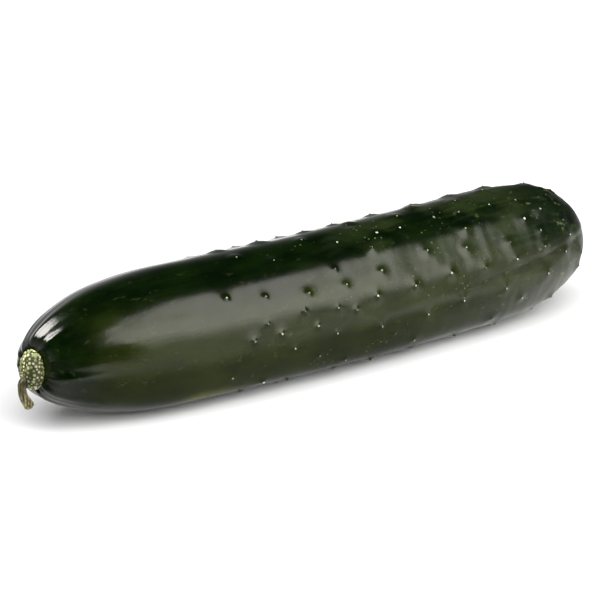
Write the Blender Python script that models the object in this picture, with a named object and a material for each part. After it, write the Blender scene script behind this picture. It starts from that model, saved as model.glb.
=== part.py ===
"""A slicing cucumber lying on its side, with the dried stub of its stem.

The fruit runs along X, its stem end at -X, and rests on the floor at Z = 0.
Lengths are in metres. An angle around the fruit is 0 at the back (+Y),
90 at the top, 180 at the front and 270 where the fruit rests.
"""

import math
import random

import bmesh
import bpy
from mathutils import Matrix, Vector

# The fruit's outline
FRUIT_LENGTH = 0.247
FRUIT_RADIUS = 0.025
STEM_TAPER = 0.066  # length over which the stem end rounds off
STEM_BLUNTNESS = 2.3  # 2 is an ellipse, and more is blunter
BLOSSOM_TAPER = 0.060
BLOSSOM_BLUNTNESS = 2.8
BOW = 0.0067  # how far both ends sweep to the back of the middle
SWING = 0.0042  # how far the stem end then turns forward again
SWING_LENGTH = 0.037
LIFT = 0.0015  # how far the blossom end turns up
LIFT_LENGTH = 0.050
REST_DEPTH = 0.00025  # how far the fruit's own weight flattens its underside

# The fruit's section: three seed chambers and the ribs over them
CHAMBERS = 3
CHAMBER_RISE = 0.0006
RIBS = 11
RIB_RISE = 0.00018
SHOULDER_RIB_RISE = 0.0007
SHOULDER_LENGTH = 0.018
REST_ANGLE = 270

# The hollow that the stem grows from
HOLLOW_DEPTH = 0.0040
HOLLOW_RADIUS = 0.0115
HOLLOW_FORWARD = 0.0030  # from the fruit's own end towards the front
HOLLOW_UP = 0.0006

# The warts
WART_RADIUS = 0.0023
WART_TIP_RADIUS = 0.0006
WART_HEIGHT = 0.0010
SMALLEST_WART = 0.7  # share of the largest wart's size
WART_SIDES = 6
WART_ROOT = 0.0006  # how deep a wart's foot is sunk in the skin
WART_FREE_BLOSSOM = 0.012
WART_GAP = 0.006
WART_STRAY = 0.003  # how far a wart strays from its place in its row
WART_SEED = 11
# The rows on the front and top: degrees around, then the first wart and the spacing in mm
WART_ROWS = (
    (72, 86, 17), (86, 136, 32), (98, 86, 24), (112, 98, 14), (125, 92, 42), (134, 73, 44),
    (146, 67, 18), (162, 83, 16), (174, 75, 15), (187, 92, 20), (203, 73, 32), (218, 84, 34),
)
HIDDEN_ROWS = 12
HIDDEN_ROW_START = 0.070
HIDDEN_ROW_SPACING = 0.019

# The stem: a swollen knob in the hollow, and the withered strand below it
SEAT_GAP = 0.0003  # between the knob and the skin round it
KNOB_THICKNESS = 0.0066
KNOB_WIDTH = 0.0098
KNOB_HEIGHT = 0.0136
KNOB_SUNK = 0.0015  # how deep the knob sits below the hollow's floor
STRAND_ROOT_RADIUS = 0.0022
STRAND_RADIUS = 0.0015
STRAND_END_RADIUS = 0.0018
STRAND_DROP = 0.0108
STRAND_REACH = 0.0042  # how far the strand arches out from the knob
STRAND_TIP_OUT = 0.0012  # how far the strand's tip stays out from the knob's middle
STRAND_POINTS = 12

# Facets
SIDES = 54
RINGS = 44
KNOB_SIDES = 20
KNOB_RINGS = 12
NORMAL_STEP = 0.0002


def clear_scene():
    for old in list(bpy.data.objects):
        bpy.data.objects.remove(old)


def new_collection(name):
    collection = bpy.data.collections.new(name)
    bpy.context.scene.collection.children.link(collection)
    return collection


def new_material(name, colour, roughness):
    material = bpy.data.materials.new(name)
    material.use_nodes = True
    shader = material.node_tree.nodes["Principled BSDF"]
    shader.inputs["Base Color"].default_value = (*colour, 1.0)
    shader.inputs["Roughness"].default_value = roughness
    shader.inputs["Metallic"].default_value = 0.0
    return material


def new_object(name, mesh, collection, material=None):
    obj = bpy.data.objects.new(name, mesh)
    collection.objects.link(obj)
    if material:
        mesh.materials.append(material)
    return obj


def mesh_from(shape, name):
    mesh = bpy.data.meshes.new(name)
    shape.to_mesh(mesh)
    shape.free()
    return mesh


def hide_helper(obj):
    obj.hide_render = True
    obj.display_type = "WIRE"


def add_boolean(obj, operation, other):
    modifier = obj.modifiers.new(operation.title() + "_" + other.name, "BOOLEAN")
    modifier.operation = operation
    modifier.object = other


# The fruit's surface


def outline_radius(along):
    """The turned outline: full in the middle, with a rounded taper at each end."""
    into_stem = max(0.0, 1 - along / STEM_TAPER)
    into_blossom = max(0.0, 1 - (FRUIT_LENGTH - along) / BLOSSOM_TAPER)
    stem_end = max(0.0, 1 - into_stem**STEM_BLUNTNESS)
    blossom_end = max(0.0, 1 - into_blossom**BLOSSOM_BLUNTNESS)
    return FRUIT_RADIUS * math.sqrt(stem_end * blossom_end)


def centre_line(along):
    """The bowed centre line, which lies level above the floor until the blossom end turns up."""
    from_middle = 2 * along / FRUIT_LENGTH - 1
    turn = max(0.0, 1 - along / SWING_LENGTH)
    back = BOW * from_middle**2 - SWING * turn**2
    level = FRUIT_RADIUS - CHAMBER_RISE - REST_DEPTH
    into_lift = max(0.0, 1 - (FRUIT_LENGTH - along) / LIFT_LENGTH)
    return Vector((along - FRUIT_LENGTH / 2, back, level + LIFT * into_lift**2))


def section_rise(along, around):
    """How far the chambers and ribs stand out, with a flat between two chambers underneath."""
    fullness = outline_radius(along) / FRUIT_RADIUS
    turned = around - math.radians(REST_ANGLE)
    chambers = -CHAMBER_RISE * math.cos(CHAMBERS * turned)
    shoulder = max(0.0, 1 - along / SHOULDER_LENGTH)
    rib_rise = RIB_RISE + (SHOULDER_RIB_RISE - RIB_RISE) * shoulder
    return fullness * (chambers - rib_rise * math.cos(RIBS * turned))


def hollow_centre():
    end = centre_line(0.0)
    return Vector((end.x, end.y - HOLLOW_FORWARD, end.z + HOLLOW_UP))


def skin_point(along, around):
    radius = outline_radius(along)
    radius += section_rise(along, around)
    out = Vector((0.0, math.cos(around), math.sin(around)))
    point = centre_line(along) + out * radius
    if along < STEM_TAPER:
        away = (point.yz - hollow_centre().yz).length / HOLLOW_RADIUS
        point.x += HOLLOW_DEPTH * max(0.0, 1 - away * away) ** 2
    return point


def skin_normal(along, around):
    step_around = NORMAL_STEP / FRUIT_RADIUS
    lengthways = skin_point(along + NORMAL_STEP, around) - skin_point(along - NORMAL_STEP, around)
    crossways = skin_point(along, around + step_around) - skin_point(along, around - step_around)
    return crossways.cross(lengthways).normalized()


def fruit_mesh():
    """A UV sphere drawn out along the fruit, ring by ring."""
    shape = bmesh.new()
    bmesh.ops.create_uvsphere(shape, u_segments=SIDES, v_segments=RINGS, radius=1.0)
    for vertex in shape.verts:
        share = (1 - max(-1.0, min(1.0, vertex.co.z))) / 2
        around = math.atan2(vertex.co.x, vertex.co.y)
        vertex.co = skin_point(share * FRUIT_LENGTH, around)
    return mesh_from(shape, "fruit")


# The warts


def wart_gap(one, other):
    """The distance over the skin between two places on the fruit."""
    turn = abs(one[1] - other[1]) % math.tau
    return math.hypot(one[0] - other[0], min(turn, math.tau - turn) * FRUIT_RADIUS)


def wart_rows(dice):
    """(around, first wart, spacing) of each row: those on the front, then the ones behind and below."""
    rows = [(math.radians(turn), first / 1000, gap / 1000) for turn, first, gap in WART_ROWS]
    last = WART_ROWS[-1][0]
    step = (360 + WART_ROWS[0][0] - last) / (HIDDEN_ROWS + 1)
    for row in range(HIDDEN_ROWS):
        first = HIDDEN_ROW_START + dice.uniform(0.0, HIDDEN_ROW_SPACING)
        rows.append((math.radians(last + step * (row + 1)), first, HIDDEN_ROW_SPACING))
    return rows


def wart_sites():
    """(along, around, size) of each wart, none of them closer together than the gap."""
    dice = random.Random(WART_SEED)
    sites = []
    for turn, first, spacing in wart_rows(dice):
        along = first
        while along < FRUIT_LENGTH - WART_FREE_BLOSSOM:
            place = along + dice.uniform(-WART_STRAY, WART_STRAY)
            around = turn + dice.uniform(-WART_STRAY, WART_STRAY) / FRUIT_RADIUS / 2
            site = (place, around, dice.uniform(SMALLEST_WART, 1.0))
            if all(wart_gap(site, other) > WART_GAP for other in sites):
                sites.append(site)
            along += spacing
    return sites


def warts_mesh():
    """Every wart as a low cone standing square on the skin."""
    shape = bmesh.new()
    for along, around, size in wart_sites():
        normal = skin_normal(along, around)
        middle = (WART_HEIGHT * size - WART_ROOT) / 2
        place = Matrix.Translation(skin_point(along, around) + normal * middle)
        turn = normal.to_track_quat("Z", "Y").to_matrix().to_4x4()
        bmesh.ops.create_cone(
            shape,
            cap_ends=True,
            segments=WART_SIDES,
            radius1=WART_RADIUS * size,
            radius2=WART_TIP_RADIUS * size,
            depth=WART_HEIGHT * size + WART_ROOT,
            matrix=place @ turn,
        )
    return mesh_from(shape, "wart_cones")


def floor_mesh():
    """A block whose top is the floor, to flatten whatever the fruit rests on."""
    shape = bmesh.new()
    bmesh.ops.create_cube(shape, size=1.0)
    size = Vector((FRUIT_LENGTH, 4 * FRUIT_RADIUS, FRUIT_RADIUS))
    bmesh.ops.scale(shape, vec=size, verts=shape.verts)
    bmesh.ops.translate(shape, vec=(0.0, 0.0, -FRUIT_RADIUS / 2), verts=shape.verts)
    return mesh_from(shape, "floor_block")


# The stem


def knob_centre():
    """The knob sits in the hollow, its inner end sunk into the skin."""
    inner_end = hollow_centre() + Vector((HOLLOW_DEPTH + KNOB_SUNK, 0.0, 0.0))
    return inner_end - Vector((KNOB_THICKNESS / 2, 0.0, 0.0))


def knob_mesh(name, grown):
    """The knob as an ellipsoid, its surface moved out by grown."""
    shape = bmesh.new()
    bmesh.ops.create_uvsphere(shape, u_segments=KNOB_SIDES, v_segments=KNOB_RINGS, radius=1.0)
    size = Vector((KNOB_THICKNESS, KNOB_WIDTH, KNOB_HEIGHT)) / 2 + Vector((grown,) * 3)
    bmesh.ops.scale(shape, vec=size, verts=shape.verts)
    bmesh.ops.translate(shape, vec=knob_centre(), verts=shape.verts)
    return mesh_from(shape, name)


def strand_path():
    """An arch out of the knob's lower half and down, as (point, radius) pairs."""
    start = knob_centre() - Vector((0.0, 0.0, KNOB_HEIGHT / 6))
    crest = start - Vector((KNOB_THICKNESS / 2 + STRAND_REACH, 0.0, STRAND_DROP / 6))
    tip = start - Vector((STRAND_TIP_OUT, 0.0, STRAND_DROP))
    path = []
    for step in range(STRAND_POINTS):
        t = step / (STRAND_POINTS - 1)
        point = start * (1 - t) ** 2 + crest * 2 * t * (1 - t) + tip * t * t
        thin = STRAND_ROOT_RADIUS + (STRAND_RADIUS - STRAND_ROOT_RADIUS) * min(1.0, 2 * t)
        flare = (STRAND_END_RADIUS - STRAND_RADIUS) * max(0.0, 2 * t - 1) ** 2
        path.append((point, thin + flare))
    return path


def strand_mesh(collection):
    """The strand as a tube of changing thickness, its end caps welded."""
    curve = bpy.data.curves.new("strand", "CURVE")
    curve.dimensions = "3D"
    curve.bevel_depth = 1.0
    curve.bevel_resolution = 2
    curve.use_fill_caps = True
    spline = curve.splines.new("POLY")
    spline.points.add(STRAND_POINTS - 1)
    for knot, (point, radius) in zip(spline.points, strand_path()):
        knot.co = (*point, 1.0)
        knot.radius = radius
    tube = bpy.data.objects.new("strand_curve", curve)
    collection.objects.link(tube)
    graph = bpy.context.evaluated_depsgraph_get()
    mesh = bpy.data.meshes.new_from_object(tube.evaluated_get(graph))
    bpy.data.objects.remove(tube)
    shape = bmesh.new()
    shape.from_mesh(mesh)
    bmesh.ops.remove_doubles(shape, verts=shape.verts, dist=0.00001)
    bmesh.ops.recalc_face_normals(shape, faces=shape.faces)
    return mesh_from(shape, "strand")


# Putting it together


def build_fruit(parts, helpers):
    skin = new_material("cucumber_skin", (0.020, 0.050, 0.014), 0.35)
    fruit = new_object("fruit", fruit_mesh(), parts, skin)
    warts = new_object("wart_cones", warts_mesh(), helpers)
    seat = new_object("knob_seat", knob_mesh("knob_seat", SEAT_GAP), helpers)
    floor = new_object("floor_block", floor_mesh(), helpers)
    add_boolean(fruit, "UNION", warts)
    add_boolean(fruit, "DIFFERENCE", seat)
    add_boolean(fruit, "DIFFERENCE", floor)
    return fruit


def build_stem(parts, helpers):
    dried = new_material("dried_stem", (0.30, 0.27, 0.10), 0.75)
    stem = new_object("stem", knob_mesh("stem", 0.0), parts, dried)
    strand = new_object("strand", strand_mesh(helpers), helpers)
    add_boolean(stem, "UNION", strand)
    return stem


def world_box(objects):
    """The lowest and highest corners of the objects, modifiers included."""
    graph = bpy.context.evaluated_depsgraph_get()
    corners = []
    for obj in objects:
        solid = obj.evaluated_get(graph)
        corners += [solid.matrix_world @ Vector(corner) for corner in solid.bound_box]
    lowest = Vector(min(corner[axis] for corner in corners) for axis in range(3))
    highest = Vector(max(corner[axis] for corner in corners) for axis in range(3))
    return lowest, highest


def stand_on_origin(pieces, helpers):
    """Moves everything so that the origin is under the middle of the whole cucumber."""
    lowest, highest = world_box(pieces)
    middle = (lowest + highest) / 2
    base = bpy.data.objects.new("cucumber", None)
    pieces[0].users_collection[0].objects.link(base)
    base.location = (-middle.x, -middle.y, -lowest.z)
    for obj in [*pieces, *helpers.objects]:
        obj.parent = base


def main():
    clear_scene()
    parts = new_collection("cucumber")
    helpers = new_collection("cutters")
    fruit = build_fruit(parts, helpers)
    stem = build_stem(parts, helpers)
    for obj in (fruit, stem):
        obj.data.shade_smooth()
    for helper in helpers.objects:
        hide_helper(helper)
    stand_on_origin([fruit, stem], helpers)


main()
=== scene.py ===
import math
import random

import bmesh
import bpy
import numpy as np
from mathutils import Matrix, Quaternion, Vector, noise


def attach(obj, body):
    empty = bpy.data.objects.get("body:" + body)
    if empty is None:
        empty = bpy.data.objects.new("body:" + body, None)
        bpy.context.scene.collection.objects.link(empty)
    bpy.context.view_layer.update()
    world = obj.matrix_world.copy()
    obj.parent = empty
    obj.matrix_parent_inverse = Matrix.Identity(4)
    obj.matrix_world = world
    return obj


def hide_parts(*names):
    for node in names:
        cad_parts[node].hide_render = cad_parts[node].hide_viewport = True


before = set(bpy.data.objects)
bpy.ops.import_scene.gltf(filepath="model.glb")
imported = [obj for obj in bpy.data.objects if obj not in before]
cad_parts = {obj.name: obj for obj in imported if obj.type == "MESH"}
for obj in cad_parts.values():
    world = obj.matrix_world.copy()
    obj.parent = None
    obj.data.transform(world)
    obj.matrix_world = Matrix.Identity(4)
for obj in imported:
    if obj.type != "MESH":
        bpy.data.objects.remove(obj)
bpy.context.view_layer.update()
print("frame loaded")

# The fruit lies along X with its stem end at -X. Lengths are in metres. An angle around
# the fruit is 0 at the back, 90 degrees at the top and 180 at the front.

fruit = {
    "length": 0.247,
    "radius": 0.025,
    "stemTaper": 0.066,
    "stemBluntness": 2.3,
    "blossomTaper": 0.060,
    "blossomBluntness": 2.8,
    "bow": 0.0067,  # how far both ends bend to the back
    "swing": 0.0042,  # how far the stem end turns to the front again
    "swingLength": 0.037,
    "lift": 0.0015,  # how far the blossom end turns up
    "liftLength": 0.050,
    "chambers": 3,
    "chamberRise": 0.0006,
    "ribs": 11,
    "ribRise": 0.00018,
    "shoulderRibRise": 0.0007,
    "shoulderLength": 0.018,
    "restAngle": math.radians(270),
    "hollowDepth": 0.0040,
    "hollowRadius": 0.0115,
    "hollowForward": 0.0030,
    "hollowUp": 0.0006,
}

warts = {
    # degrees around, then the first wart and the spacing in mm
    "rows": (
        (72, 86, 17), (86, 136, 32), (98, 86, 24), (112, 98, 14), (125, 92, 42), (134, 73, 44),
        (146, 67, 18), (162, 83, 16), (174, 75, 15), (187, 92, 20), (203, 73, 32), (218, 84, 34),
    ),
    "hiddenRows": 12,
    "hiddenStart": 0.070,
    "hiddenSpacing": 0.019,
    "stray": 0.003,
    "gap": 0.006,
    "freeBlossom": 0.012,
    "smallest": 0.7,
    "seed": 11,
    "moundRadius": 0.0036,
    "moundHeight": 0.00075,
    "leastMound": 0.25,
    "lateMound": 0.4,
    "moundTop": (0.75, 0.95),  # mounds grow to full height over these sines of the angle
    "peakRadius": 0.00118,
    "peakHeight": 0.0009,
    "peakDrop": 0.84,  # how much lower the peak is on a full mound
    "reach": 0.009,
}

skin = {
    "sides": 240,
    "rings": 400,
    "poleShare": 0.04,  # rings crowd together over this share at each pole
    "late": (0.13, 0.22),  # the skin grows rougher along here
    # each wave: bumps per metre along and across, its height, and how much it grows late
    "waves": (
        {"pattern": (30, 45, 45), "height": 0.00040, "growth": 0.00040, "seed": 4},
        {"pattern": (70, 90, 90), "height": 0.00018, "growth": 0.00004, "seed": 5},
        {"pattern": (290, 55, 55), "height": 0.0, "growth": 0.00017, "seed": 6},  # creases
        {"pattern": (210, 210, 210), "height": 0.0, "growth": 0.00008, "seed": 9},  # pits
        {"pattern": (9, 170, 170), "height": 0.000042, "growth": 0.00012, "seed": 7},  # grooves
    ),
    # the pucker around the blossom tip
    "pucker": 0.0012,
    "puckerLength": 0.002,
    # the long fold that runs in from the blossom end on the front
    "fold": {
        "around": math.radians(178),
        "lean": math.radians(-180),  # per metre along the fruit
        "start": 0.165,
        "fade": 0.030,
        "width": 0.0010,
        "depth": 0.00012,
    },
    # fine flutes that run out from the stem
    "flutes": {"count": 22, "turn": 0.6, "depth": 0.00012, "length": 0.034, "fade": 0.008},
    # the dark ring of skin around the stem
    "collar": {"inner": 0.0033, "outer": 0.0088},
    # a sallow patch low on the front, where it lay on the ground
    "yellowPatch": {"along": 0.066, "around": math.radians(230), "length": 0.013, "width": 0.0065},
}


# The fruit's plain surface, on arrays of places along and around it

def ramp(value, low, high):
    # 0 up to low, and 1 from high on
    return np.clip((value - low) / (high - low), 0, 1)


def outlineRadius(along):
    intoStem = 1 - ramp(along, 0, fruit["stemTaper"])
    intoBlossom = 1 - ramp(fruit["length"] - along, 0, fruit["blossomTaper"])
    stemEnd = 1 - intoStem ** fruit["stemBluntness"]
    blossomEnd = 1 - intoBlossom ** fruit["blossomBluntness"]
    return fruit["radius"] * np.sqrt(np.clip(stemEnd * blossomEnd, 0, 1))


def bowedLine(along):
    fromMiddle = 2 * along / fruit["length"] - 1
    intoSwing = 1 - ramp(along, 0, fruit["swingLength"])
    intoLift = 1 - ramp(fruit["length"] - along, 0, fruit["liftLength"])
    back = fruit["bow"] * fromMiddle ** 2 - fruit["swing"] * intoSwing ** 2
    return np.stack([along - fruit["length"] / 2, back, fruit["lift"] * intoLift ** 2], axis=-1)


def sectionRise(along, around):
    fullness = outlineRadius(along) / fruit["radius"]
    turned = around - fruit["restAngle"]
    shoulder = 1 - ramp(along, 0, fruit["shoulderLength"])
    ribRise = fruit["ribRise"] + (fruit["shoulderRibRise"] - fruit["ribRise"]) * shoulder
    chambers = -fruit["chamberRise"] * np.cos(fruit["chambers"] * turned)
    return fullness * (chambers - ribRise * np.cos(fruit["ribs"] * turned))


# The CAD fruit's blossom tip says where the bowed line runs in the frame
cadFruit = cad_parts["fruit"].data
blossomTip = max((vertex.co for vertex in cadFruit.vertices), key=lambda co: co.x)
linePlace = np.array(blossomTip) - bowedLine(np.array(fruit["length"]))
stemTip = bowedLine(np.array(0.0)) + linePlace
hollowCentre = stemTip + (0.0, -fruit["hollowForward"], fruit["hollowUp"])


def skinPoint(along, around):
    radius = outlineRadius(along) + sectionRise(along, around)
    point = bowedLine(along) + linePlace
    point[..., 1] += radius * np.cos(around)
    point[..., 2] += radius * np.sin(around)
    across = point[..., 1:] - hollowCentre[1:]
    away = np.linalg.norm(across, axis=-1) / fruit["hollowRadius"]
    hollow = fruit["hollowDepth"] * np.clip(1 - away ** 2, 0, 1) ** 2
    point[..., 0] += hollow * (along < fruit["stemTaper"])
    return point


def skinNormal(along, around, step=0.0002):
    turn = step / fruit["radius"]
    near = np.clip(along - step, 0, fruit["length"])
    far = np.clip(along + step, 0, fruit["length"])
    lengthways = skinPoint(far, around) - skinPoint(near, around)
    crossways = skinPoint(along, around + turn) - skinPoint(along, around - turn)
    normal = np.cross(crossways, lengthways)
    size = np.linalg.norm(normal, axis=-1, keepdims=True)
    pole = np.zeros_like(normal)
    pole[..., 0] = np.where(along < fruit["length"] / 2, -1, 1)
    tiny = 1e-12
    return np.where(size > tiny, normal / np.maximum(size, tiny), pole)


def straightPlace(along, around):
    # the place on a straightened fruit, for patterns that follow its length
    radius = outlineRadius(along)
    return np.stack([along, radius * np.cos(around), radius * np.sin(around)], axis=-1)


def wander(points, pattern, seed):
    # smooth random heights from -1 to 1
    shift = Vector((seed * 7.3, seed * 3.1, seed * 5.7))
    stretch = Vector(pattern)
    return np.array([noise.noise(Vector(point) * stretch + shift) for point in points])


# The warts' places

def wartGap(one, other):
    turn = abs(one[1] - other[1]) % math.tau
    return math.hypot(one[0] - other[0], min(turn, math.tau - turn) * fruit["radius"])


def wartRows(dice):
    # the rows in the table, then the hidden ones that fill the rest of the way round
    rows = [(math.radians(turn), first / 1000, gap / 1000) for turn, first, gap in warts["rows"]]
    last = warts["rows"][-1][0]
    step = (360 + warts["rows"][0][0] - last) / (warts["hiddenRows"] + 1)
    for row in range(warts["hiddenRows"]):
        first = warts["hiddenStart"] + dice.uniform(0.0, warts["hiddenSpacing"])
        rows.append((math.radians(last + step * (row + 1)), first, warts["hiddenSpacing"]))
    return rows


def wartSites():
    dice = random.Random(warts["seed"])
    stray = warts["stray"]
    sites = []
    for turn, first, spacing in wartRows(dice):
        along = first
        while along < fruit["length"] - warts["freeBlossom"]:
            place = along + dice.uniform(-stray, stray)
            around = turn + dice.uniform(-stray, stray) / fruit["radius"] / 2
            site = (place, around, dice.uniform(warts["smallest"], 1.0))
            if all(wartGap(site, other) > warts["gap"] for other in sites):
                sites.append(site)
            along += spacing
    return np.array(sites)


def lateness(along):
    return ramp(along, *skin["late"])


sites = wartSites()
siteAlong, siteAround, siteSize = sites.T
siteCentre = skinPoint(siteAlong, siteAround)
siteNormal = skinNormal(siteAlong, siteAround)
# mounds are full on the top, and grow towards the blossom end all round
siteMound = ramp(np.sin(siteAround), *warts["moundTop"]) + lateness(siteAlong) * warts["lateMound"]
siteMound = np.clip(siteMound + warts["leastMound"], 0, 1)
print("warts", len(sites))


# The skin's relief

def foldShare(along, around):
    fold = skin["fold"]
    turn = fold["around"] + fold["lean"] * (along - fold["start"])
    away = (around - turn) * outlineRadius(along) / fold["width"]
    return np.exp(-away ** 2) * ramp(along, fold["start"], fold["start"] + fold["fade"])


def fluteDepth(along, around):
    flutes = skin["flutes"]
    share = (1 - ramp(along, 0, flutes["length"])) * ramp(along, 0, flutes["fade"])
    return flutes["depth"] * share * np.cos(flutes["count"] * around + flutes["turn"])


def wartRelief(points):
    relief = np.zeros(len(points))
    nearTip = np.zeros(len(points))
    for centre, size, fullness in zip(siteCentre, siteSize, siteMound):
        chosen = np.flatnonzero(np.abs(points[:, 0] - centre[0]) < warts["reach"])
        away = np.linalg.norm(points[chosen] - centre, axis=1) / size
        mound = np.exp(-(away / warts["moundRadius"]) ** 3)
        peak = np.exp(-(away / warts["peakRadius"]) ** 2)
        tall = warts["peakHeight"] * (1 - warts["peakDrop"] * fullness)
        relief[chosen] += size * (warts["moundHeight"] * fullness * mound + tall * peak)
        nearTip[chosen] = np.maximum(nearTip[chosen], peak)
    return relief, nearTip


def reliefOf(points, along, around):
    # how far the skin stands out from its plain shape, and how near a wart's tip it is
    relief, nearTip = wartRelief(points)
    straight = straightPlace(along, around)
    for wave in skin["waves"]:
        height = wave["height"] + wave["growth"] * lateness(along)
        relief += height * wander(straight, wave["pattern"], wave["seed"])
    relief -= skin["pucker"] * np.exp((along - fruit["length"]) / skin["puckerLength"])
    relief -= skin["fold"]["depth"] * foldShare(along, around)
    relief -= fluteDepth(along, around)
    return relief, nearTip


# Shared helpers

def meshFrom(shape, name):
    mesh = bpy.data.meshes.new(name)
    shape.to_mesh(mesh)
    shape.free()
    return mesh


def ballMesh(name, sides, rings):
    shape = bmesh.new()
    bmesh.ops.create_uvsphere(shape, u_segments=sides, v_segments=rings, radius=1.0)
    return meshFrom(shape, name)


def readPoints(mesh):
    flat = np.empty(len(mesh.vertices) * 3)
    mesh.vertices.foreach_get("co", flat)
    return flat.reshape(-1, 3)


def writePoints(mesh, points):
    mesh.vertices.foreach_set("co", points.ravel())
    mesh.update()


def writeAttribute(mesh, name, kind, values):
    attribute = mesh.attributes.new(name, kind, "POINT")
    field = "vector" if kind == "FLOAT_VECTOR" else "value"
    attribute.data.foreach_set(field, np.asarray(values, dtype=float).ravel())


def fixNormals(mesh):
    shape = bmesh.new()
    shape.from_mesh(mesh)
    bmesh.ops.recalc_face_normals(shape, faces=shape.faces)
    shape.to_mesh(mesh)
    shape.free()


def addPiece(name, mesh, material, replaced=()):
    piece = bpy.data.objects.new(name, mesh)
    bpy.context.scene.collection.objects.link(piece)
    mesh.materials.append(material)
    mesh.shade_smooth()
    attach(piece, "root")
    if replaced:
        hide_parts(*replaced)
    return piece


# Materials: a socket that takes part in arithmetic, and a finish that adds its nodes

class Term:
    def __init__(self, finish, socket):
        self.finish = finish
        self.socket = socket

    def maths(self, operation, *values):
        return self.finish.node("ShaderNodeMath", {"operation": operation}, dict(enumerate(values)))

    def __add__(self, other):
        return self.maths("ADD", self, other)

    def __sub__(self, other):
        return self.maths("SUBTRACT", self, other)

    def __rsub__(self, other):
        return self.maths("SUBTRACT", other, self)

    def __mul__(self, other):
        return self.maths("MULTIPLY", self, other)

    def __pow__(self, other):
        return self.maths("POWER", self, other)

    def __abs__(self):
        return self.maths("ABSOLUTE", self)

    def atLeast(self, other):
        return self.maths("MAXIMUM", self, other)

    __radd__ = __add__
    __rmul__ = __mul__


class Finish:
    def __init__(self, owner, shader="Principled BSDF"):
        owner.use_nodes = True
        self.owner = owner
        self.tree = owner.node_tree
        self.shader = self.tree.nodes[shader]

    def node(self, kind, settings, inputs, output=0):
        made = self.tree.nodes.new(kind)
        for name, value in settings.items():
            setattr(made, name, value)
        for name, value in inputs.items():
            self.feed(made.inputs[name], value)
        return Term(self, made.outputs[output])

    def feed(self, socket, value):
        if isinstance(value, Term):
            self.tree.links.new(value.socket, socket)
        else:
            socket.default_value = value

    def set(self, **values):
        # baseColor stands for the shader's Base Color, and so on
        for name, value in values.items():
            words = "".join(" " + letter if letter.isupper() else letter for letter in name)
            self.feed(self.shader.inputs[words.title().replace("Ior", "IOR")], value)

    def attribute(self, name, output="Fac"):
        return self.node("ShaderNodeAttribute", {"attribute_name": name}, {}, output)

    def coordinates(self, output="Object"):
        return self.node("ShaderNodeTexCoord", {}, {}, output)

    def split(self, place):
        parts = self.node("ShaderNodeSeparateXYZ", {}, {"Vector": place}).socket.node.outputs
        return [Term(self, part) for part in parts]

    def noise(self, place, scale, detail=2.0):
        inputs = {"Vector": place, "Scale": scale, "Detail": detail}
        return self.node("ShaderNodeTexNoise", {}, inputs)

    def streaks(self, place, pattern, detail):
        # noise with its own scale along each axis
        stretched = self.node("ShaderNodeMapping", {}, {"Vector": place, "Scale": pattern})
        return self.noise(stretched, 1.0, detail)

    def smooth(self, value, low, high):
        inputs = {"Value": value, "From Min": low, "From Max": high}
        return self.node("ShaderNodeMapRange", {"interpolation_type": "SMOOTHSTEP"}, inputs)

    def fade(self, value, low, high):
        return 1 - self.smooth(value, low, high)

    def blend(self, share, first, second):
        inputs = {0: share, 6: first, 7: second}
        return self.node("ShaderNodeMix", {"data_type": "RGBA"}, inputs, 2)

    def bump(self, height, strength, distance):
        inputs = {"Height": height, "Strength": strength, "Distance": distance}
        return self.node("ShaderNodeBump", {}, inputs)


# The skin

skinLook = {
    "deep": (0.0004, 0.0028, 0.00015, 1),  # the side that faced the sun
    "leaf": (0.0020, 0.0070, 0.0006, 1),
    "shade": (0.0080, 0.0120, 0.0010, 1),
    "olive": (0.0140, 0.0190, 0.0020, 1),
    # painted sheen: a greyer green for the dim reflection on the top
    "worn": (0.0150, 0.0225, 0.0065, 1),
    "streak": (0.030, 0.048, 0.012, 1),
    "belly": (0.075, 0.080, 0.016, 1),
    "yellow": (0.085, 0.090, 0.007, 1),
    "speck": (0.070, 0.095, 0.030, 1),
    "collar": (0.012, 0.018, 0.004, 1),
    "wax": (1.0, 0.955, 0.90, 1),  # its shine is a little warm
    # lengths along the fruit over which a finish comes in or goes out
    "stemGreen": (0.012, 0.034),
    "stemShine": (0.020, 0.050),
    "speckled": (0.06, 0.12),
    # where the painted sheen on the top comes in and goes out
    "paintedSheenFrom": (0.09, 0.16),
    "paintedSheenUntil": (0.195, 0.228),
    "blossomSide": (0.15, 0.24),
    "blossomTurn": (0.17, 0.235),
    "blossomTurnUp": 0.012,  # the sunny side comes lower by this much there
    # the same for heights above or below the fruit's middle line
    "sunnyAbove": (0.010, 0.022),
    # how high up the painted sheen starts
    "paintedSheenAbove": (0.006, 0.018),
    "paleBelow": (0.016, 0.026),
}


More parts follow.
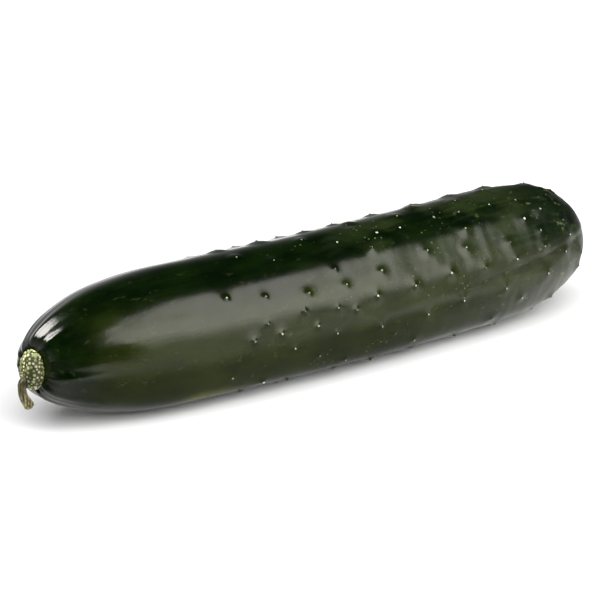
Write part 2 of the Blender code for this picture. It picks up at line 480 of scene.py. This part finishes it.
def skinFinish():
    look = skinLook
    finish = Finish(bpy.data.materials.new("cucumberSkin"))
    place = finish.attribute("straight", "Vector")
    along, _, up = finish.split(place)
    late = finish.smooth(along, *look["blossomSide"])
    # deep green on the sunny side and at the stem, olive below
    mottle = finish.smooth(finish.streaks(place, (60, 130, 130), 4.0), 0.35, 0.7)
    sunny = finish.blend(mottle, look["deep"], look["leaf"])
    shady = finish.blend(mottle, look["shade"], look["olive"])
    turnUp = finish.smooth(along, *look["blossomTurn"]) * look["blossomTurnUp"]
    colour = finish.blend(finish.smooth(up + turnUp, *look["sunnyAbove"]), shady, sunny)
    colour = finish.blend(finish.fade(along, *look["stemGreen"]), colour, sunny)
    # painted sheen: lighter, greyer patches on the top past the middle, standing in for a dim
    # reflection from above and behind
    worn = finish.smooth(finish.streaks(place, (45, 120, 120), 3.0), 0.40, 0.60)
    worn = worn * finish.smooth(along, *look["paintedSheenFrom"]) * finish.fade(along, *look["paintedSheenUntil"])
    worn = worn * finish.smooth(up, *look["paintedSheenAbove"])
    colour = finish.blend(worn * 0.8, colour, look["worn"])
    # pale streaks run in from the blossom end
    lines = finish.smooth(finish.streaks(place, (14, 420, 420), 2.0), 0.52, 0.72)
    colour = finish.blend(lines * (late * 0.25 + 0.05), colour, look["streak"])
    # the side it lay on is paler, with one yellow patch
    under = finish.smooth(up * -1, *look["paleBelow"])
    patch = finish.smooth(finish.noise(place, 45.0, 3.0), 0.42, 0.62)
    colour = finish.blend(under * patch * 0.45, colour, look["belly"])
    yellow = finish.smooth(finish.attribute("yellowing") * (0.7 + patch * 0.4), 0.10, 0.95)
    colour = finish.blend(yellow, colour, look["yellow"])
    colour = finish.blend(finish.attribute("fold") * lines * 0.7, colour, look["speck"])
    # fine pale specks in patches, and a few scuffs
    cells = finish.node("ShaderNodeTexVoronoi", {}, {"Vector": place, "Scale": 420.0}, "Distance")
    speckled = finish.smooth(finish.noise(place, 60.0), 0.5, 0.62)
    specks = finish.fade(cells, 0.10, 0.17) * speckled * finish.smooth(along, *look["speckled"])
    colour = finish.blend(specks * 0.8, colour, look["speck"])
    scuffs = finish.smooth(finish.streaks(place, (260, 420, 420), 3.0), 0.63, 0.71)
    colour = finish.blend(scuffs * (late * 0.65 + 0.1), colour, look["speck"])
    colour = finish.blend(finish.smooth(finish.attribute("collar"), 0.35, 1.0), colour, look["collar"])
    # painted shade: a little deeper green around each wart's tip, for the dark ring its slopes show
    colour = finish.blend(finish.attribute("nearTip") * 0.25, colour, look["deep"])
    # waxy near the stem and duller towards the blossom end
    shine = finish.fade(along, *look["stemShine"]) * 0.07
    roughness = 0.16 + late * 0.19 + finish.noise(place, 220.0, 3.0) * 0.12 + specks * 0.2 - shine
    grain = finish.noise(place, 1500.0) + finish.noise(place, 420.0) * 1.5
    relief = finish.bump(grain * (late * 0.75 + 0.25), 0.22, 0.00022)
    finish.set(baseColor=colour, roughness=roughness, normal=relief, ior=1.4, specularTint=look["wax"])
    return finish.owner


def crowdPoles(ring):
    # eases the spacing of the rings in towards both poles
    share = skin["poleShare"]
    fromPole = np.minimum(ring, 1 - ring)
    eased = np.where(fromPole < share, fromPole ** 2 / (2 * share), fromPole - share / 2)
    eased /= 1 - share
    return np.where(ring < 0.5, eased, 1 - eased)


def yellowing(along, around):
    patch = skin["yellowPatch"]
    place = (along - patch["along"]) / patch["length"]
    turn = np.remainder(around - patch["around"] + math.pi, math.tau) - math.pi
    return np.exp(-place ** 2 - (turn * fruit["radius"] / patch["width"]) ** 2)


def collarShare(points, along):
    away = np.linalg.norm(points[:, 1:] - hollowCentre[1:], axis=1)
    share = 1 - ramp(away, skin["collar"]["inner"], skin["collar"]["outer"])
    return share * (along < fruit["stemTaper"])


def buildSkin():
    mesh = ballMesh("skin", skin["sides"], skin["rings"])
    ball = readPoints(mesh)
    ring = np.arccos(np.clip(ball[:, 2], -1, 1)) / math.pi
    along = fruit["length"] * crowdPoles(ring)
    around = np.arctan2(ball[:, 0], ball[:, 1])
    points = skinPoint(along, around)
    relief, nearTip = reliefOf(points, along, around)
    points += skinNormal(along, around) * relief[:, None]
    points[:, 2] = np.maximum(points[:, 2], 0.0)  # it rests flat on the floor
    writePoints(mesh, points)
    writeAttribute(mesh, "straight", "FLOAT_VECTOR", straightPlace(along, around))
    writeAttribute(mesh, "nearTip", "FLOAT", nearTip)
    writeAttribute(mesh, "fold", "FLOAT", foldShare(along, around))
    writeAttribute(mesh, "yellowing", "FLOAT", yellowing(along, around))
    writeAttribute(mesh, "collar", "FLOAT", collarShare(points, along))
    return addPiece("cucumberSkin", mesh, skinFinish(), ["fruit"])


skinPiece = buildSkin()
print("skin", len(skinPiece.data.vertices), "points")


# The pale tip on each wart

spine = {
    "radius": 0.00047,
    "height": 0.00020,
    "sizes": (0.6, 1.2),
    "stretches": (0.9, 1.3),
    "proud": 0.0001,
    "floorGap": 0.00005,
    "sides": 8,
    "rings": 5,
    "seed": 9,
    "dark": (0.04, 0.06, 0.02, 1),
    "pale": (0.52, 0.54, 0.42, 1),
}


def spineFinish():
    finish = Finish(bpy.data.materials.new("spineTip"))
    spots = finish.noise(finish.coordinates(), 900.0)
    colour = finish.blend(finish.smooth(spots, 0.38, 0.66), spine["dark"], spine["pale"])
    finish.set(baseColor=colour, roughness=0.3 + spots * 0.2)
    return finish.owner


def buildSpines():
    dice = random.Random(spine["seed"])
    relief, _ = reliefOf(siteCentre, siteAlong, siteAround)
    shape = bmesh.new()
    for centre, normal, size, rise in zip(siteCentre, siteNormal, siteSize, relief):
        radius = spine["radius"] * size * dice.uniform(*spine["sizes"])
        turn = Vector(normal).to_track_quat("Z", "Y").to_matrix().to_4x4()
        spin = Matrix.Rotation(dice.uniform(0, math.pi), 4, "Z")
        longer = radius * dice.uniform(*spine["stretches"])
        flat = Matrix.Diagonal((longer, radius, spine["height"] * size, 1))
        place = Matrix.Translation(Vector(centre + normal * (rise + spine["proud"])))
        bmesh.ops.create_uvsphere(
            shape,
            u_segments=spine["sides"],
            v_segments=spine["rings"],
            radius=1.0,
            matrix=place @ turn @ spin @ flat,
        )
    for vertex in shape.verts:
        vertex.co.z = max(vertex.co.z, spine["floorGap"])
    return addPiece("spineTips", meshFrom(shape, "spineTips"), spineFinish())


buildSpines()
print("spine tips")


# The stem: a nubbly knob in the hollow and the withered strand that hangs from it

knob = {
    "thickness": 0.0066,
    "width": 0.0098,
    "height": 0.0136,
    "sunk": 0.0015,
    "flare": 0.10,
    "sides": 160,
    "rings": 110,
    "seed": 3,
    "tries": 2500,
    "nubGap": 0.00108,
    "nubRadius": 0.00050,
    "nubHeight": 0.00055,
    "nubSizes": (0.6, 1.4),
    "nubRises": (0.7, 1.0),
    "wedges": 13,
    "wedgeHeight": 0.0004,
    # wedges come in over these shares of half the thickness, inwards, and of half the height
    "wedgeBase": (-0.45, 0.15),
    "wedgeEnds": (8 / 15, 13 / 15),
    "wedgeBalance": 0.2,
    "wedgeStray": 1.5,
    "nubsOnWedge": 0.3,
    "shadedFront": (-0.0045, 0.001),  # from its middle to the back, where the shade ends
    "valleyDark": (0.008, 0.010, 0.001, 1),
    "valley": (0.090, 0.100, 0.010, 1),
    "nubGreen": (0.22, 0.24, 0.040, 1),
    "nubPale": (0.92, 0.92, 0.50, 1),
    "wedgeSkin": (0.46, 0.50, 0.22, 1),
    "shaded": (0.010, 0.012, 0.004, 1),
}

knobCentre = hollowCentre + (fruit["hollowDepth"] + knob["sunk"] - knob["thickness"] / 2, 0, 0)


def knobFinish():
    finish = Finish(bpy.data.materials.new("stemKnob"))
    place = finish.coordinates()
    blotch = finish.noise(place, 420.0, 3.0)
    _, back, _ = finish.split(place)
    valley = finish.blend(blotch, knob["valleyDark"], knob["valley"])
    nub = finish.blend(finish.attribute("tone"), knob["nubGreen"], knob["nubPale"])
    colour = finish.blend(finish.smooth(finish.attribute("rise"), 0.20, 0.62), valley, nub)
    wedge = finish.smooth(finish.attribute("wedge") + blotch * 0.3, 0.28, 0.65)
    colour = finish.blend(wedge * 0.9, colour, knob["wedgeSkin"])
    shaded = finish.fade(back, *(knobCentre[1] + limit for limit in knob["shadedFront"]))
    colour = finish.blend(shaded * 0.65, colour, knob["shaded"])
    relief = finish.bump(finish.noise(place, 2600.0, 3.0), 0.35, 0.0002)
    finish.set(baseColor=colour, roughness=0.42 + blotch * 0.2, normal=relief)
    return finish.owner


def nubSpots(dice, size):
    # places thrown at random on the knob, none too near another
    spots = []
    for count in range(knob["tries"]):
        throw = np.array([dice.gauss(0, 1) for axis in range(3)])
        spot = throw / np.linalg.norm(throw) * size
        if all(np.linalg.norm(spot - other) > knob["nubGap"] for other in spots):
            spots.append(spot)
    return spots


def wedgeShare(ball):
    # pale wedges of skin that run up onto the knob, above and below
    base = ramp(ball[:, 0], *knob["wedgeBase"]) * ramp(np.abs(ball[:, 2]), *knob["wedgeEnds"])
    turn = np.arctan2(ball[:, 2], ball[:, 1])
    wave = np.cos(knob["wedges"] * turn + knob["wedgeStray"] * np.sin(2 * turn))
    return base * np.clip(knob["wedgeBalance"] + wave, 0, 1)


def buildKnob():
    mesh = ballMesh("stemKnob", knob["sides"], knob["rings"])
    ball = readPoints(mesh)
    size = np.array([knob["thickness"], knob["width"], knob["height"]]) / 2
    points = ball * size
    rise = np.zeros(len(points))
    tone = np.zeros(len(points))
    dice = random.Random(knob["seed"])
    for spot in nubSpots(dice, size):
        width = knob["nubRadius"] * dice.uniform(*knob["nubSizes"])
        away = np.linalg.norm(points - spot, axis=1) / width
        bulge = np.exp(-away ** 2) * dice.uniform(*knob["nubRises"])
        tone = np.where(bulge > rise, dice.random(), tone)
        rise = np.maximum(rise, bulge)
    wedge = wedgeShare(ball)
    rise *= 1 - (1 - knob["nubsOnWedge"]) * wedge
    inward = np.clip(ball[:, 0], 0, 1)
    points[:, 1:] *= (1 + knob["flare"] * inward ** 2)[:, None]
    outward = ball / np.linalg.norm(ball / size, axis=1)[:, None] / size
    points += outward * (rise * knob["nubHeight"] + wedge * knob["wedgeHeight"])[:, None]
    writePoints(mesh, points + knobCentre)
    writeAttribute(mesh, "rise", "FLOAT", rise)
    writeAttribute(mesh, "tone", "FLOAT", tone)
    writeAttribute(mesh, "wedge", "FLOAT", wedge)
    return addPiece("stemKnob", mesh, knobFinish(), ["stem"])


strand = {
    "rootRadius": 0.0022,
    "radius": 0.0015,
    "endRadius": 0.0018,
    "drop": 0.0108,
    "reach": 0.0042,
    "tipOut": 0.0012,
    "sides": 40,
    "rings": 44,
    "capInsets": (0.12, 0.3, 0.3),
    "tipDent": 0.0006,
    "ridges": 7,
    "ridgeTwist": 2.2,
    "ridgeShare": 0.2,
    "lumps": 9,
    "lumpShare": 0.16,
    "lumpSeed": 5,
    "bareShare": 0.86,
    "dryDark": (0.006, 0.006, 0.0010, 1),
    "dry": (0.080, 0.066, 0.016, 1),
    "paleDark": (0.030, 0.024, 0.005, 1),
    "pale": (0.34, 0.28, 0.11, 1),
    "ridgePale": (0.36, 0.31, 0.13, 1),
}


def strandFinish():
    finish = Finish(bpy.data.materials.new("stemStrand"))
    streak = finish.streaks(finish.coordinates(), (1400, 1400, 260), 4.0)
    shade = finish.smooth(streak, 0.38, 0.66)
    dry = finish.blend(shade, strand["dryDark"], strand["dry"])
    pale = finish.blend(shade, strand["paleDark"], strand["pale"])
    colour = finish.blend(finish.smooth(finish.attribute("down"), 0.62, 0.95), dry, pale)
    colour = finish.blend(finish.attribute("ridge") * shade * 0.45, colour, strand["ridgePale"])
    finish.set(baseColor=colour, roughness=0.62, normal=finish.bump(streak, 0.6, 0.0003))
    return finish.owner


def strandPath(share):
    # a bend from inside the knob, out over the crest and down to the tip
    start = knobCentre - (0, 0, knob["height"] / 6)
    crest = start - (knob["thickness"] / 2 + strand["reach"], 0, strand["drop"] / 6)
    tip = start - (strand["tipOut"], 0, strand["drop"])
    share = share[:, None]
    point = start * (1 - share) ** 2 + crest * 2 * share * (1 - share) + tip * share ** 2
    run = 2 * (1 - share) * (crest - start) + 2 * share * (tip - crest)
    return point, run / np.linalg.norm(run, axis=1, keepdims=True)


def strandTube():
    shape = bmesh.new()
    bmesh.ops.create_cone(
        shape, cap_ends=True, segments=strand["sides"], radius1=1.0, radius2=1.0, depth=1.0
    )
    upright = [edge for edge in shape.edges if abs(edge.verts[0].co.z - edge.verts[1].co.z) > 0.5]
    bmesh.ops.subdivide_edges(shape, edges=upright, cuts=strand["rings"], use_grid_fill=True)
    caps = [face for face in shape.faces if len(face.verts) > 4]
    for inset in strand["capInsets"]:
        bmesh.ops.inset_region(shape, faces=caps, thickness=inset)
    return meshFrom(shape, "stemStrand")


def buildStrand():
    mesh = strandTube()
    tube = readPoints(mesh)
    share = 0.5 - tube[:, 2]  # 0 in the knob, 1 at the tip
    angle = np.arctan2(tube[:, 1], tube[:, 0])
    within = np.linalg.norm(tube[:, :2], axis=1)
    thin = strand["rootRadius"] + (strand["radius"] - strand["rootRadius"]) * ramp(share, 0, 0.5)
    thick = thin + (strand["endRadius"] - strand["radius"]) * ramp(share, 0.5, 1) ** 2
    ridge = 0.5 + 0.5 * np.cos(strand["ridges"] * angle + strand["ridgeTwist"] * share)
    spots = np.stack([share * strand["lumps"], np.cos(angle), np.sin(angle)], axis=1)
    lumps = wander(spots, (1, 1, 1), strand["lumpSeed"])
    uneven = strand["bareShare"] + strand["ridgeShare"] * ridge + strand["lumpShare"] * lumps
    radius = (thick * within * uneven)[:, None]
    centre, run = strandPath(share)
    side = np.array([0.0, 1.0, 0.0])
    other = np.cross(run, side)
    points = centre + radius * (side * np.cos(angle)[:, None] + other * np.sin(angle)[:, None])
    onTip = share > 0.999
    dent = strand["tipDent"] * onTip * np.clip(1 - within, 0, 1)
    writePoints(mesh, points - run * dent[:, None])
    writeAttribute(mesh, "down", "FLOAT", share)
    writeAttribute(mesh, "ridge", "FLOAT", ridge * (within > 0.9))  # none on the caps
    fixNormals(mesh)
    return addPiece("stemStrand", mesh, strandFinish(), ["stem"])


buildKnob()
buildStrand()
print("stem")


# The corky scar where the flower was

scar = {
    "radius": 0.0024,
    "thickness": 0.0011,
    "lumpHeight": 0.00035,
    "lumps": (2.4, 2.4, 2.4),
    "seed": 8,
    "sides": 64,
    "rings": 40,
    "dark": (0.045, 0.032, 0.014, 1),
    "cork": (0.30, 0.24, 0.12, 1),
}


def scarFinish():
    finish = Finish(bpy.data.materials.new("blossomScar"))
    cork = finish.noise(finish.coordinates(), 900.0, 4.0)
    colour = finish.blend(cork, scar["dark"], scar["cork"])
    finish.set(baseColor=colour, roughness=0.8, normal=finish.bump(cork, 0.6, 0.0004))
    return finish.owner


def buildScar():
    mesh = ballMesh("blossomScar", scar["sides"], scar["rings"])
    ball = readPoints(mesh)
    lumps = wander(ball, scar["lumps"], scar["seed"])
    size = np.array([scar["thickness"] / 2, scar["radius"], scar["radius"]])
    points = ball * (size + scar["lumpHeight"] * lumps[:, None])
    tip = np.array(blossomTip) - (skin["pucker"], 0, 0)
    writePoints(mesh, points + tip)
    return addPiece("blossomScar", mesh, scarFinish())


buildScar()
print("blossom scar")


# The floor, the lights and the camera

def addSheet(name, height, finish):
    shape = bmesh.new()
    bmesh.ops.create_grid(shape, x_segments=1, y_segments=1, size=4.0)
    bmesh.ops.translate(shape, vec=(0, 0, height), verts=shape.verts)
    sheet = bpy.data.objects.new(name, meshFrom(shape, name))
    bpy.context.scene.collection.objects.link(sheet)
    sheet.data.materials.append(finish.owner)
    return sheet


def buildFloor():
    paper = Finish(bpy.data.materials.new("whitePaper"))
    paper.set(baseColor=(0.86, 0.86, 0.86, 1), roughness=0.9, specularIorLevel=0.1)
    floor = addSheet("floor", -0.0001, paper)
    floor.visible_glossy = False


# A glowing card that only the glossy skin sees, a painted reflection of the table: painted shadow dims
# it beside the fruit, and it is brighter away from it.
# A pair of lengths is where a change starts and where it is complete.
paintedReflection = {
    # painted shadow: how bright the card is right beside the fruit
    "nearLevel": 0.28,
    "farLevel": 1.0,
    "away": (0.022, 0.115),
    # brighter past the blossom end, beside its rim and past the stem
    "blossomGain": 1.0,
    "blossomReach": (0.06, 0.13),
    "rimGain": 0.4,
    "rimReach": (0.02, 0.08),
    "rimAway": (0.02, 0.06),
    "stemGain": 0.8,
    "stemReach": (0.095, 0.125),
    # it dims again beyond both ends
    "blossomDim": 0.8,
    "blossomEnd": (0.20, 0.34),
    "stemDim": 0.95,
    "stemEnd": (0.120, 0.17),
}


def buildPaintedReflection():
    glow = Finish(bpy.data.materials.new("paintedReflection"))
    right, back, _ = glow.split(glow.coordinates())
    left = right * -1
    pastEnd = (abs(right) - fruit["length"] / 2).atLeast(0.0)
    away = (pastEnd * pastEnd + back * back) ** 0.5
    rise = paintedReflection["farLevel"] - paintedReflection["nearLevel"]
    level = paintedReflection["nearLevel"] + glow.smooth(away, *paintedReflection["away"]) * rise
    level = level + glow.smooth(right, *paintedReflection["blossomReach"]) * paintedReflection["blossomGain"]
    rim = glow.smooth(right, *paintedReflection["rimReach"]) * glow.fade(away, *paintedReflection["rimAway"])
    level = level + rim * paintedReflection["rimGain"]
    level = level + glow.smooth(left, *paintedReflection["stemReach"]) * paintedReflection["stemGain"]
    level = level * (1 - glow.smooth(right, *paintedReflection["blossomEnd"]) * paintedReflection["blossomDim"])
    level = level * (1 - glow.smooth(left, *paintedReflection["stemEnd"]) * paintedReflection["stemDim"])
    # the card glows to paint the reflection; it is no lamp
    glow.set(baseColor=(0, 0, 0, 1), roughness=1.0, emissionColor=level, emissionStrength=1.0)
    glow.owner.cycles.emission_sampling = "NONE"
    card = addSheet("paintedReflection", -0.00005, glow)
    card.visible_camera = False
    card.visible_diffuse = False
    card.visible_shadow = False


softboxes = {
    # azimuth is 0 at the back and 90 at +X
    "keyBox": {
        "azimuth": -47, "elevation": 52, "roll": 0, "distance": 1.8,
        "width": 0.66, "height": 0.58, "brightness": 24.0, "for": "gloss",
    },
    "frontBox": {
        "azimuth": 158, "elevation": 38, "roll": -8, "distance": 1.6,
        "width": 1.30, "height": 0.90, "brightness": 5.3, "for": "both",
    },
    # its dimmer skirts
    "middleBox": {
        "azimuth": 158, "elevation": 17, "roll": -4, "distance": 1.6,
        "width": 1.22, "height": 0.30, "brightness": 4.2, "for": "both",
    },
    "lowerBox": {
        "azimuth": 157, "elevation": 7.5, "roll": 0, "distance": 1.6,
        "width": 1.15, "height": 0.25, "brightness": 2.6, "for": "both",
    },
    "fillBox": {
        "azimuth": 220, "elevation": 64, "roll": 0, "distance": 1.4,
        "width": 2.0, "height": 2.0, "brightness": 3.4, "for": "fill",
    },
}


boxAim = Vector((0, 0, 0.02))  # they face a point low inside the fruit


def addSoftbox(name, box):
    light = bpy.data.lights.new(name, "AREA")
    light.shape = "RECTANGLE"
    light.size = box["width"]
    light.size_y = box["height"]
    light.energy = box["brightness"] * math.pi * box["width"] * box["height"]
    turn, tilt = math.radians(box["azimuth"]), math.radians(box["elevation"])
    out = Vector((math.sin(turn) * math.cos(tilt), math.cos(turn) * math.cos(tilt), math.sin(tilt)))
    lamp = bpy.data.objects.new(name, light)
    lamp.location = out * box["distance"] + boxAim
    facing = (-out).to_track_quat("-Z", "Y") @ Quaternion((0, 0, 1), math.radians(box["roll"]))
    lamp.rotation_euler = facing.to_euler()
    lamp.visible_diffuse = box["for"] != "gloss"
    lamp.visible_glossy = box["for"] != "fill"
    bpy.context.scene.collection.objects.link(lamp)


# A dark room with a bright wall behind and to the left, dimmer towards the ceiling
surroundings = {
    "dark": 0.02,
    "wall": 1.25,
    "wallBack": 0.8,
    "wallSide": -0.6,
    "wallEdge": 0.9,
    "ceilingFade": 1.2,
}


def buildWorld():
    world = bpy.data.worlds.new("studio")
    bpy.context.scene.world = world
    studio = Finish(world, "Background")
    toSide, toBack, toTop = studio.split(studio.coordinates("Generated"))
    facing = toBack * surroundings["wallBack"] + toSide * surroundings["wallSide"]
    wall = studio.smooth(facing, 0.0, surroundings["wallEdge"])
    wall = wall * (1 - toTop * surroundings["ceilingFade"]).atLeast(0.0)
    studio.set(color=surroundings["dark"] + wall * surroundings["wall"], strength=1.0)


view = {
    "lens": 195.3,
    "sensor": 36,
    "azimuth": -35.2,  # 0 looks at the front, and less is nearer the stem end
    "elevation": 20.5,
    "distance": 1.176,
    "aimLeft": 0.0074,
    "aimBelow": 0.00025,
}


def addCamera():
    camera = bpy.data.cameras.new("camera")
    camera.sensor_width = view["sensor"]
    camera.lens = view["lens"]
    turn, tilt = math.radians(view["azimuth"]), math.radians(view["elevation"])
    out = Vector((math.sin(turn) * math.cos(tilt), -math.cos(turn) * math.cos(tilt), math.sin(tilt)))
    right = Vector((math.cos(turn), math.sin(turn), 0))
    aim = Vector(linePlace) - Vector((0, 0, view["aimBelow"])) - right * view["aimLeft"]
    viewer = bpy.data.objects.new("camera", camera)
    viewer.location = aim + out * view["distance"]
    viewer.rotation_euler = (-out).to_track_quat("-Z", "Y").to_euler()
    bpy.context.scene.collection.objects.link(viewer)
    bpy.context.scene.camera = viewer


buildFloor()
buildPaintedReflection()
for name, box in softboxes.items():
    addSoftbox(name, box)
buildWorld()
addCamera()
bpy.context.scene.view_settings.view_transform = "Standard"
print("studio")
